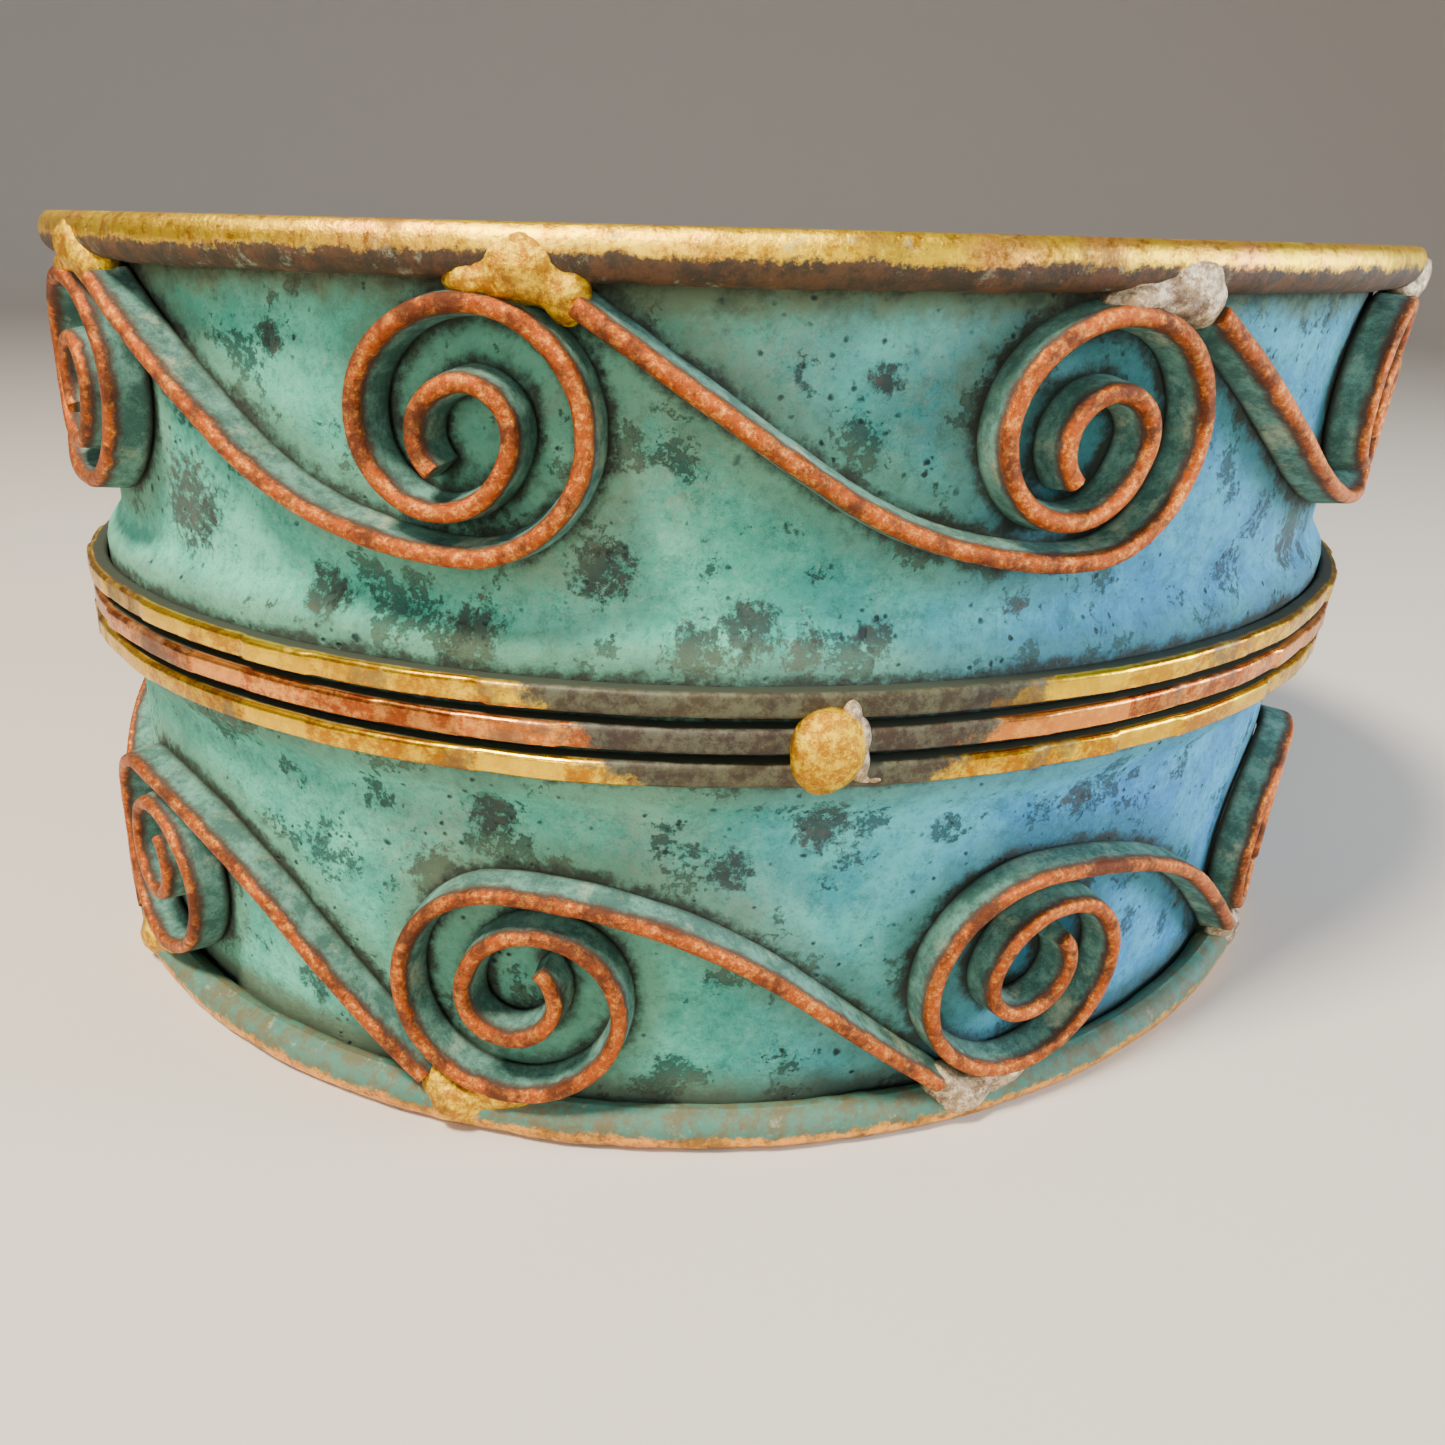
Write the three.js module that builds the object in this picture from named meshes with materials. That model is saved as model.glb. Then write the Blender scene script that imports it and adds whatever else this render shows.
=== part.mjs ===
// Mixed-metal cuff bracelet, in millimetres, +Z up, standing on its lower rim.
// A copper band is bent to an oval, open at the back, and carries a raised ridge round its middle.
// Round wire edges the band, scrolled strips fill it, and three flat wires and a bead sit on the ridge.
// Every piece is drawn flat (u along the band, n out of its face, z up) and then bent round the wrist.
import * as THREE from 'three';

// Oval of the band's middle surface: four tangent arcs
const FRONT_RADIUS = 33;
const SIDE_RADIUS = 21;
const FRONT_HALF_ANGLE = THREE.MathUtils.degToRad(55);
const BACK_GAP = 21;

// The band was bent slightly askew: it leans this far right for each mm of height
const SIDE_LEAN = 0.047;

// Band
const OVERALL_HEIGHT = 35.3;
const SHEET = 1.0;
const SHEET_SETBACK = 0.5;
const RIDGE_ABOVE_MIDDLE = 1.05;
const RIDGE_PROUD = 0.8;
const LIP_LAND = 0.5;
const LIP_FLANK = 1.7;

// Wires
const RIM_WIRE = 1.8;
const FILED_FLAT = 0.1;
const CENTRE_WIRE_WIDTH = 1.2;
const CENTRE_WIRE_DEPTH = 0.9;
const CENTRE_WIRE_SPACE = 0.15;
const WIRE_CHAMFER = 0.2;
const END_STRIP = 1.2;
const END_STRIP_CHAMFER = 0.35;

// Scrolls
const SCROLLS_PER_ROW = 7;
const SCROLL_WIDTH = 1.07;
const SCROLL_TURN = THREE.MathUtils.degToRad(680);
const EYE_TO_LOOP = 0.41;
const COIL_IN_FROM = THREE.MathUtils.degToRad(140);
const COIL_IN_TO = THREE.MathUtils.degToRad(350);
const SWEEP_RADIUS = 18;
const SWEEP_SHARE_OF_ROOM = 0.9;
const LOOP_BEFORE_JOINT = 2.1;
const TAIL_AFTER_JOINT = 1.6;
const WALL_UNDER_TOP_ROW = 1.4;
const WALL_OVER_BOTTOM_ROW = 2.3;
const TOP_ROW_SHIFT = 0.3;
const BOTTOM_ROW_SHIFT = -2.4;
const ROW_END_SPACE = 0.2;

// Solder and bead
const JOINT_WIDTH = 3.0;
const JOINT_HEIGHT = 2.4;
const JOINT_PROUD = 0.8;
const JOINT_FOOT = 0.98;
const JOINT_OFF_RIM_CENTRE = 0.45;
const BEAD_WIDTH = 2.6;
const BEAD_HEIGHT = 2.9;
const BEAD_PROUD = 1.3;
const BEAD_FOOT = 0.8;

// Clearance between pieces that the real solder joins
const JOIN = 0.08;

// Facets
const STEP_ALONG_BAND = 3;
const WIRE_SIDES = 14;
const STEP_ALONG_SWEEP = 2.7;
const STEP_ALONG_TAIL = 1.7;
const TURN_STEP = THREE.MathUtils.degToRad(20);

const COPPER_PATINA = { color: 0x5f9f90, roughness: 0.7, metalness: 0.45 };
const SCROLL_COPPER = { color: 0xb8754a, roughness: 0.4, metalness: 0.9 };
const RIM_COPPER = { color: 0xa8743a, roughness: 0.35, metalness: 0.9 };
const BRASS = { color: 0xc79a3e, roughness: 0.35, metalness: 0.95 };
const SOLDER = { color: 0xcdbb92, roughness: 0.35, metalness: 0.95 };

// The oval, seen from above: u runs right from the middle of the front
const arcJoinX = (FRONT_RADIUS - SIDE_RADIUS) * Math.sin(FRONT_HALF_ANGLE);
const arcJoinY = (FRONT_RADIUS - SIDE_RADIUS) * Math.cos(FRONT_HALF_ANGLE);
const sideTurn = Math.PI - 2 * FRONT_HALF_ANGLE;

// Length along the band, at a distance n outside its middle surface, up to a turn from the front
function lengthAtTurn(turn, n) {
	const front = Math.min(turn, FRONT_HALF_ANGLE);
	const side = Math.min(Math.max(turn - FRONT_HALF_ANGLE, 0), sideTurn);
	const back = Math.max(turn - FRONT_HALF_ANGLE - sideTurn, 0);
	return (FRONT_RADIUS + n) * (front + back) + (SIDE_RADIUS + n) * side;
}

// A flat point's place on the oval; face is the n at which u was measured
function bendPoint(point, face) {
	const away = Math.abs(point.x);
	const n = -point.y;
	const frontEnd = lengthAtTurn(FRONT_HALF_ANGLE, face);
	const sideEnd = lengthAtTurn(FRONT_HALF_ANGLE + sideTurn, face);
	let turn = away / (FRONT_RADIUS + face);
	let radius = FRONT_RADIUS;
	let centre = [0, arcJoinY];
	if (away > sideEnd) {
		turn = FRONT_HALF_ANGLE + sideTurn + (away - sideEnd) / (FRONT_RADIUS + face);
		centre = [0, -arcJoinY];
	} else if (away > frontEnd) {
		turn = FRONT_HALF_ANGLE + (away - frontEnd) / (SIDE_RADIUS + face);
		radius = SIDE_RADIUS;
		centre = [arcJoinX, 0];
	}
	const x = centre[0] + (radius + n) * Math.sin(turn);
	const y = centre[1] - (radius + n) * Math.cos(turn);
	return point.set(Math.sign(point.x) * x + SIDE_LEAN * point.z, y, point.z);
}

function bend(geometry, face) {
	const position = geometry.getAttribute('position');
	const point = new THREE.Vector3();
	for (let i = 0; i < position.count; i += 1) {
		bendPoint(point.fromBufferAttribute(position, i), face);
		position.setXYZ(i, point.x, point.y, point.z);
	}
	geometry.computeVertexNormals();
	return geometry;
}

// Levels of the pieces out of the band's middle surface
const sheetFace = SHEET / 2;
const wireBack = sheetFace + JOIN;
const rimCentre = wireBack + RIM_WIRE / 2;
const wireFront = wireBack + RIM_WIRE;
const solderBack = wireFront + JOIN;
const centreWireBack = sheetFace + RIDGE_PROUD + JOIN;
const centreWireFront = centreWireBack + CENTRE_WIRE_DEPTH;

// Heights
const lowerRim = RIM_WIRE / 2 - FILED_FLAT;
const upperRim = OVERALL_HEIGHT - lowerRim;
const ridgeMiddle = OVERALL_HEIGHT / 2 + RIDGE_ABOVE_MIDDLE;
const centreWirePitch = CENTRE_WIRE_WIDTH + CENTRE_WIRE_SPACE;
const ridgeHalfTop = centreWirePitch + CENTRE_WIRE_WIDTH / 2 + LIP_LAND;
const ridgeHalfFoot = ridgeHalfTop + LIP_FLANK;

// Where the band ends, and the half length left there for a piece between the end strips
const endTurn = Math.PI - BACK_GAP / 2 / FRONT_RADIUS;

function halfLength(face) {
	return lengthAtTurn(endTurn, face) - END_STRIP - JOIN;
}

function shapeOf(points) {
	return new THREE.Shape(points.map(([x, y]) => new THREE.Vector2(x, y)));
}

// A strip along the whole band: its section is a list of [n, z]
function strip(section, face) {
	const length = 2 * halfLength(face);
	const geometry = new THREE.ExtrudeGeometry(shapeOf(section), {
		depth: length,
		steps: Math.ceil(length / STEP_ALONG_BAND),
		bevelEnabled: false,
	});
	geometry.translate(0, 0, -length / 2);
	const lay = new THREE.Matrix4().makeBasis(
		new THREE.Vector3(0, -1, 0),
		new THREE.Vector3(0, 0, 1),
		new THREE.Vector3(-1, 0, 0),
	);
	return bend(geometry.applyMatrix4(lay), face);
}

// Outer or inner line of the band's section, from the bottom up
function sheetLine(level) {
	const bottom = SHEET_SETBACK;
	const top = OVERALL_HEIGHT - SHEET_SETBACK;
	const flankSteps = 5;
	const line = [[level, bottom]];
	for (let i = 0; i <= flankSteps; i += 1) {
		const rise = i / flankSteps;
		const n = level + RIDGE_PROUD * (1 - Math.cos(Math.PI * rise)) / 2;
		line.push([n, ridgeMiddle - ridgeHalfFoot + LIP_FLANK * rise]);
	}
	for (let i = flankSteps; i >= 0; i -= 1) {
		const rise = i / flankSteps;
		const n = level + RIDGE_PROUD * (1 - Math.cos(Math.PI * rise)) / 2;
		line.push([n, ridgeMiddle + ridgeHalfFoot - LIP_FLANK * rise]);
	}
	line.push([level, top]);
	return line;
}

function bandSheet() {
	const outer = sheetLine(sheetFace);
	const inner = sheetLine(-sheetFace).reverse();
	return strip([...outer, ...inner], 0);
}

// Round wire with a flat filed on the side the band stands on
function rimWire(height, flatSide) {
	const radius = RIM_WIRE / 2;
	const flatHalfAngle = Math.acos(1 - FILED_FLAT / radius);
	const section = [];
	for (let i = 0; i <= WIRE_SIDES; i += 1) {
		const angle = flatHalfAngle + (2 * (Math.PI - flatHalfAngle) * i) / WIRE_SIDES;
		const z = height + flatSide * radius * Math.cos(angle);
		section.push([rimCentre + radius * Math.sin(angle), z]);
	}
	return strip(section, rimCentre);
}

// Flat wire with its two front edges chamfered
function flatWireSection(back, depth, width) {
	const front = back + depth;
	const half = width / 2;
	return [
		[back, -half],
		[front - WIRE_CHAMFER, -half],
		[front, WIRE_CHAMFER - half],
		[front, half - WIRE_CHAMFER],
		[front - WIRE_CHAMFER, half],
		[back, half],
	];
}

function centreWire(row) {
	const height = ridgeMiddle + row * centreWirePitch;
	const section = flatWireSection(centreWireBack, CENTRE_WIRE_DEPTH, CENTRE_WIRE_WIDTH);
	return strip(section.map(([n, z]) => [n, z + height]), centreWireBack);
}

// Upright strip that the band and its wires end against; side is -1 on the left and 1 on the right
function endStrip(side) {
	const end = lengthAtTurn(endTurn, 0);
	const outline = shapeOf([
		[side * (end - END_STRIP), -wireFront],
		[side * (end - END_STRIP), sheetFace],
		[side * (end - END_STRIP_CHAMFER), sheetFace],
		[side * end, sheetFace - END_STRIP_CHAMFER],
		[side * end, END_STRIP_CHAMFER - wireFront],
		[side * (end - END_STRIP_CHAMFER), -wireFront],
	]);
	const geometry = new THREE.ExtrudeGeometry(outline, { depth: OVERALL_HEIGHT, bevelEnabled: false });
	return bend(geometry, 0);
}

// The two rows of scrolls: the lower is like the upper turned half a turn
function scrollRow(name, towards, rim, wallLeft, shift) {
	const rimEdge = rim - towards * (RIM_WIRE / 2 + JOIN);
	const foot = ridgeMiddle + towards * ridgeHalfFoot;
	const zone = Math.abs(rimEdge - foot);
	return {
		name,
		towards,
		rim,
		line: rimEdge - towards * SCROLL_WIDTH / 2,
		shift,
		loopRadius: (zone - wallLeft - SCROLL_WIDTH) / 2,
	};
}

const rows = [
	scrollRow('top', 1, upperRim, WALL_UNDER_TOP_ROW, TOP_ROW_SHIFT),
	scrollRow('bottom', -1, lowerRim, WALL_OVER_BOTTOM_ROW, BOTTOM_ROW_SHIFT),
];
const largestLoop = Math.max(...rows.map((row) => row.loopRadius));
const loopPastJoint = largestLoop + SCROLL_WIDTH / 2 - LOOP_BEFORE_JOINT;
const largestShift = Math.max(...rows.map((row) => Math.abs(row.shift)));
const rowEnd = halfLength(rimCentre) - ROW_END_SPACE - largestShift;
const rowHalf = rowEnd - loopPastJoint;
const scrollPitch = 2 * rowHalf / SCROLLS_PER_ROW;

// A sweep's radius is limited by its room, and a loop that is large for its row sits further back
// from the joint, so that the next tail clears it
for (const row of rows) {
	const loop = row.loopRadius;
	const clear = loop + SCROLL_WIDTH + JOIN;
	const room = (scrollPitch ** 2 + loop ** 2 - clear ** 2) / (2 * (clear + loop));
	row.sweep = Math.min(SWEEP_RADIUS, SWEEP_SHARE_OF_ROOM * room);
	const fall = row.sweep - loop;
	const apart = Math.hypot(scrollPitch, fall);
	const slope = Math.asin((clear + row.sweep) / apart) - Math.atan2(fall, scrollPitch);
	const back = (clear - loop * Math.cos(slope)) / Math.sin(slope) - TAIL_AFTER_JOINT;
	row.loopBeforeJoint = Math.max(LOOP_BEFORE_JOINT, back);
}

// Distance along the band of one of a row's joints
function jointAt(row, index) {
	return row.towards * (scrollPitch * index - rowHalf) + row.shift;
}

// Path of one scroll from its joint on the rim: a straight tail, a wide sweep to the point
// furthest from that rim, then a loop that coils in round its eye
class ScrollPath extends THREE.Curve {
	constructor(row, index) {
		super();
		this.row = row;
		this.start = jointAt(row, index);
		this.sweep = row.sweep;
		this.eye = scrollPitch - row.loopBeforeJoint;
		const across = this.eye - TAIL_AFTER_JOINT;
		const rise = this.sweep - 2 * row.loopRadius;
		const reach = Math.hypot(across, rise);
		this.slope = Math.asin(this.sweep / reach) - Math.atan2(rise, across);
		this.tailLength = Math.sqrt(reach * reach - this.sweep * this.sweep);
		this.tailSteps = Math.ceil(this.tailLength / STEP_ALONG_TAIL);
		this.sweepSteps = Math.ceil(this.sweep * this.slope / STEP_ALONG_SWEEP);
		this.turnSteps = Math.round(SCROLL_TURN / TURN_STEP);
		this.steps = this.tailSteps + this.sweepSteps + this.turnSteps;
	}

	// Steps are equal shares of the path's pieces, so they are short where the scroll is tight
	getUtoTmapping(u) {
		return u;
	}

	// A point by its distance along the row and its depth from the rim
	place(along, depth, target) {
		const { towards, line } = this.row;
		return target.set(this.start + towards * along, 0, line - towards * depth);
	}

	getPoint(t, target = new THREE.Vector3()) {
		const step = t * this.steps;
		const loop = this.row.loopRadius;
		if (step < this.tailSteps) {
			const run = this.tailLength * step / this.tailSteps;
			return this.place(
				TAIL_AFTER_JOINT + run * Math.cos(this.slope), run * Math.sin(this.slope), target);
		}
		if (step < this.tailSteps + this.sweepSteps) {
			const angle = this.slope * (1 - (step - this.tailSteps) / this.sweepSteps);
			return this.place(
				this.eye - this.sweep * Math.sin(angle),
				2 * loop - this.sweep * (1 - Math.cos(angle)), target);
		}
		const turned = SCROLL_TURN * (step - this.tailSteps - this.sweepSteps) / this.turnSteps;
		const angle = turned - Math.PI / 2;
		const coiled = (angle - COIL_IN_FROM) / (COIL_IN_TO - COIL_IN_FROM);
		const share = (1 - Math.cos(Math.PI * THREE.MathUtils.clamp(coiled, 0, 1))) / 2;
		const radius = loop * (1 - (1 - EYE_TO_LOOP) * share);
		return this.place(
			this.eye + radius * Math.cos(angle), loop - radius * Math.sin(angle), target);
	}
}

function scroll(row, index) {
	const path = new ScrollPath(row, index);
	const section = flatWireSection(wireBack, RIM_WIRE, SCROLL_WIDTH);
	const geometry = new THREE.ExtrudeGeometry(shapeOf(section), {
		extrudePath: path,
		steps: path.steps,
	});
	return bend(geometry, rimCentre);
}

// A rounded lump on a flat foot; foot is the foot's share of the lump's full width
function lump(along, height, back, [width, tall, proud], foot) {
	const underside = Math.acos(foot);
	const bottom = -Math.sin(underside);
	const arcSteps = 5;
	const profile = [new THREE.Vector2(0, 0)];
	for (let i = 0; i <= arcSteps; i += 1) {
		const angle = -underside + (Math.PI / 2 + underside) * i / arcSteps;
		const out = i < arcSteps ? Math.cos(angle) : 0;
		profile.push(new THREE.Vector2(out, (Math.sin(angle) - bottom) / (1 - bottom)));
	}
	const geometry = new THREE.LatheGeometry(profile, 14);
	geometry.scale(width / 2, proud, tall / 2);
	geometry.rotateX(Math.PI);
	geometry.translate(along, -back, height);
	return bend(geometry, rimCentre);
}

function solderJoint(row, index) {
	const height = row.rim - row.towards * JOINT_OFF_RIM_CENTRE;
	const size = [JOINT_WIDTH, JOINT_HEIGHT, JOINT_PROUD];
	return lump(jointAt(row, index), height, solderBack, size, JOINT_FOOT);
}

function centreBead() {
	const size = [BEAD_WIDTH, BEAD_HEIGHT, BEAD_PROUD];
	return lump(0, ridgeMiddle, centreWireFront + JOIN, size, BEAD_FOOT);
}

const group = new THREE.Group();

function add(name, geometry, finish) {
	const mesh = new THREE.Mesh(geometry, new THREE.MeshStandardMaterial(finish));
	mesh.name = name;
	group.add(mesh);
}

add('band_sheet', bandSheet(), COPPER_PATINA);
add('top_rim_wire', rimWire(upperRim, 1), RIM_COPPER);
add('bottom_rim_wire', rimWire(lowerRim, -1), RIM_COPPER);
add('left_end_strip', endStrip(-1), RIM_COPPER);
add('right_end_strip', endStrip(1), RIM_COPPER);
add('upper_brass_wire', centreWire(1), BRASS);
add('middle_copper_wire', centreWire(0), SCROLL_COPPER);
add('lower_brass_wire', centreWire(-1), BRASS);
add('centre_bead', centreBead(), BRASS);
for (const row of rows) {
	for (let i = 0; i < SCROLLS_PER_ROW; i += 1) {
		add(`${row.name}_scroll_${i + 1}`, scroll(row, i), SCROLL_COPPER);
	}
	for (let i = 0; i <= SCROLLS_PER_ROW; i += 1) {
		add(`${row.name}_solder_joint_${i + 1}`, solderJoint(row, i), SOLDER);
	}
}

// The origin is under the middle of the whole piece
const middle = new THREE.Box3().setFromObject(group).getCenter(new THREE.Vector3());
group.position.set(-middle.x, -middle.y, 0);

export default group;
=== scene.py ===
"""Looks of the mixed-metal cuff: patinated band, scrolled wire, flat centre wires, solder and bead.

Each piece is laid out flat (x along the band, y up, z out of its face) and bent round the wrist by
one node group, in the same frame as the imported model.
"""

import math
import random

import bpy
from mathutils import Matrix, Vector


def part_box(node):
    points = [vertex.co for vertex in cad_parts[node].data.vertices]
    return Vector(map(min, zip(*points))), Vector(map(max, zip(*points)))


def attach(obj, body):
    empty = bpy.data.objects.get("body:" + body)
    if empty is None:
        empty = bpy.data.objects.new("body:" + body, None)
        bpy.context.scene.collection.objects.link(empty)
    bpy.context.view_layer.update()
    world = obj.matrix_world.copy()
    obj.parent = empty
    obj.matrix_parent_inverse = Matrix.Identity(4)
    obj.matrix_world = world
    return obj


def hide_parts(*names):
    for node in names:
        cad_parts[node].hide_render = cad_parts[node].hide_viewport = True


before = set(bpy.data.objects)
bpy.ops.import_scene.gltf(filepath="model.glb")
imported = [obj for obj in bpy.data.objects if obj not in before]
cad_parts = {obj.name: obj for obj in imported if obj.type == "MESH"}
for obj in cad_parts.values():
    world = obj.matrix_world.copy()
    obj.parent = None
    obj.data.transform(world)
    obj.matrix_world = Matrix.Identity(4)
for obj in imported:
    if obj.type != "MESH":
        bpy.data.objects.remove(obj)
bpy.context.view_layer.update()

MM = 0.001

# ---------------------------------------------------------------- the cuff's sizes, in metres

FRONT_RADIUS = 33 * MM
SIDE_RADIUS = 21 * MM
FRONT_HALF_ANGLE = math.radians(55)
BACK_GAP = 21 * MM
SIDE_LEAN = 0.047

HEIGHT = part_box("left_end_strip")[1].z
SHEET = 1.0 * MM
SHEET_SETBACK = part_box("band_sheet")[0].z
RIDGE_PROUD = 0.8 * MM
LIP_LAND = 0.5 * MM
LIP_FLANK = 1.7 * MM

WIRE = 1.8 * MM
FILED_FLAT = 0.1 * MM
JOIN = 0.08 * MM
CENTRE_WIRE_WIDTH = 1.2 * MM
CENTRE_WIRE_DEPTH = 0.9 * MM
CENTRE_WIRE_PITCH = 1.35 * MM
END_STRIP = 1.2 * MM

SCROLLS_PER_ROW = 7
SCROLL_WIDTH = 1.07 * MM
SCROLL_TURN = math.radians(680)
EYE_TO_LOOP = 0.41
COIL_IN_FROM = math.radians(140)
COIL_IN_TO = math.radians(350)
SWEEP_RADIUS = 18 * MM
LOOP_BEFORE_JOINT = 2.1 * MM
TAIL_AFTER_JOINT = 1.6 * MM
WALL_UNDER_TOP_ROW = 1.4 * MM
WALL_OVER_BOTTOM_ROW = 2.3 * MM
TOP_ROW_SHIFT = 0.3 * MM
BOTTOM_ROW_SHIFT = -2.4 * MM
ROW_END_SPACE = 0.2 * MM

# The oval's arcs, and the levels and heights that follow from the sizes
ARC_JOIN_Y = (FRONT_RADIUS - SIDE_RADIUS) * math.cos(FRONT_HALF_ANGLE)
SIDE_TURN = math.pi - 2 * FRONT_HALF_ANGLE
END_TURN = math.pi - BACK_GAP / 2 / FRONT_RADIUS
SHEET_FACE = SHEET / 2
WIRE_BACK = SHEET_FACE + JOIN
WIRE_FRONT = WIRE_BACK + WIRE
RIM_LEVEL = WIRE_BACK + WIRE / 2
CENTRE_WIRE_BACK = SHEET_FACE + RIDGE_PROUD + JOIN
CENTRE_WIRE_FRONT = CENTRE_WIRE_BACK + CENTRE_WIRE_DEPTH
LOWER_RIM = WIRE / 2 - FILED_FLAT
UPPER_RIM = HEIGHT - LOWER_RIM
_bead_low, _bead_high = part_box("centre_bead")
RIDGE_MIDDLE = (_bead_low.z + _bead_high.z) / 2
RIDGE_HALF_TOP = CENTRE_WIRE_PITCH + CENTRE_WIRE_WIDTH / 2 + LIP_LAND
RIDGE_HALF_FOOT = RIDGE_HALF_TOP + LIP_FLANK

# Wires stop this far short of their packed fronts, which leaves room for dents and swells
RIM_DENT_ROOM = 0.16 * MM
END_DENT_ROOM = 0.08 * MM
CENTRE_DENT_ROOM = 0.06 * MM

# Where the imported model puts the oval's centre
_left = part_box("left_end_strip")[0].x
_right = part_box("right_end_strip")[1].x
OVAL_X = (_left + _right - SIDE_LEAN * HEIGHT) / 2
OVAL_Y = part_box("bottom_rim_wire")[0].y + FRONT_RADIUS - ARC_JOIN_Y + WIRE_FRONT


def length_at(turn, level):
    """Length along the band at a level out of its middle surface, from the front up to a turn."""
    front = min(turn, FRONT_HALF_ANGLE)
    side = min(max(turn - FRONT_HALF_ANGLE, 0), SIDE_TURN)
    back = max(turn - FRONT_HALF_ANGLE - SIDE_TURN, 0)
    return (FRONT_RADIUS + level) * (front + back) + (SIDE_RADIUS + level) * side


def half_length(level):
    return length_at(END_TURN, level) - END_STRIP - JOIN


# ---------------------------------------------------------------- node trees

SOCKETS = {
    "geometry": "NodeSocketGeometry",
    "float": "NodeSocketFloat",
    "int": "NodeSocketInt",
    "material": "NodeSocketMaterial",
    "collection": "NodeSocketCollection",
}


class Graph:
    """A node tree, with short ways to add nodes and to join them."""

    def __init__(self, tree):
        self.tree = tree

    def node(self, kind, inputs=None, **settings):
        node = self.tree.nodes.new(kind)
        for key, value in settings.items():
            setattr(node, key, value)
        for key, value in (inputs or {}).items():
            self.feed(node.inputs[key], value)
        return node

    def feed(self, socket, value):
        if isinstance(value, bpy.types.NodeSocket):
            self.tree.links.new(value, socket)
        else:
            socket.default_value = value

    def math(self, operation, *values):
        return self.node("ShaderNodeMath", dict(enumerate(values)), operation=operation).outputs[0]

    def vector(self, operation, *values):
        return self.node("ShaderNodeVectorMath", dict(enumerate(values)), operation=operation).outputs[0]

    def scaled(self, vector, size):
        return self.node("ShaderNodeVectorMath", {0: vector, "Scale": size}, operation="SCALE").outputs[0]

    def combine(self, x, y, z):
        return self.node("ShaderNodeCombineXYZ", {0: x, 1: y, 2: z}).outputs[0]

    def separate(self, vector):
        return self.node("ShaderNodeSeparateXYZ", {0: vector}).outputs

    def between(self, value, low, high, to_low=0.0, to_high=1.0):
        """Eases from to_low, where the value is low, to to_high, where it is high."""
        inputs = {0: value, 1: low, 2: high, 3: to_low, 4: to_high}
        return self.node("ShaderNodeMapRange", inputs, interpolation_type="SMOOTHSTEP").outputs[0]

    def noise(self, where, size, seed=0.0, detail=2.0, rough=0.5, colour=False):
        """Noise whose blobs are about size across."""
        inputs = {"Vector": where, "W": seed, "Scale": 1 / size, "Detail": detail, "Roughness": rough}
        node = self.node("ShaderNodeTexNoise", inputs, noise_dimensions="4D")
        return node.outputs["Color" if colour else "Fac"]


class ShapeGraph(Graph):
    """A Geometry Nodes tree that takes a piece and named sizes and gives the finished piece."""

    def __init__(self, name, **inputs):
        tree = bpy.data.node_groups.new(name, "GeometryNodeTree")
        super().__init__(tree)
        tree.interface.new_socket("Piece", in_out="INPUT", socket_type=SOCKETS["geometry"])
        for key, start in inputs.items():
            kind = start if isinstance(start, str) else "float"
            label = key.replace("_", " ").title()
            socket = tree.interface.new_socket(label, in_out="INPUT", socket_type=SOCKETS[kind])
            if kind == "float":
                socket.default_value = start
        tree.interface.new_socket("Piece", in_out="OUTPUT", socket_type=SOCKETS["geometry"])
        self.given = self.node("NodeGroupInput").outputs
        self.place = self.node("GeometryNodeInputPosition").outputs[0]

    def input(self, label):
        return self.given[label]

    def step(self, kind, geometry, inputs=None, **settings):
        """A node whose first socket takes the geometry and whose first output gives it back."""
        node = self.node(kind, inputs, **settings)
        self.tree.links.new(geometry, node.inputs[0])
        return node.outputs[0]

    def mark(self, geometry, name, value, kind="FLOAT"):
        """Stores a value on the points, for the material to read."""
        inputs = {"Name": name, "Value": value}
        return self.step("GeometryNodeStoreNamedAttribute", geometry, inputs, data_type=kind, domain="POINT")

    def bend(self, geometry, face):
        node = self.node("GeometryNodeGroup", node_tree=BEND)
        self.feed(node.inputs["Piece"], geometry)
        self.feed(node.inputs["Face"], face)
        return node.outputs[0]

    def finish(self, geometry, sharp=math.radians(50)):
        """Smooth shading with sharp corners, then the material."""
        geometry = self.step("GeometryNodeSetShadeSmooth", geometry, domain="FACE")
        angle = self.node("GeometryNodeInputMeshEdgeAngle").outputs["Unsigned Angle"]
        corner = self.node("FunctionNodeCompare", {0: angle, 1: sharp}, data_type="FLOAT")
        inputs = {"Selection": corner.outputs[0], "Shade Smooth": False}
        geometry = self.step("GeometryNodeSetShadeSmooth", geometry, inputs, domain="EDGE")
        geometry = self.step("GeometryNodeRealizeInstances", geometry)
        geometry = self.step("GeometryNodeSetMaterial", geometry, {"Material": self.input("Material")})
        out = self.node("NodeGroupOutput")
        self.feed(out.inputs[0], geometry)
        return self.tree


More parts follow.
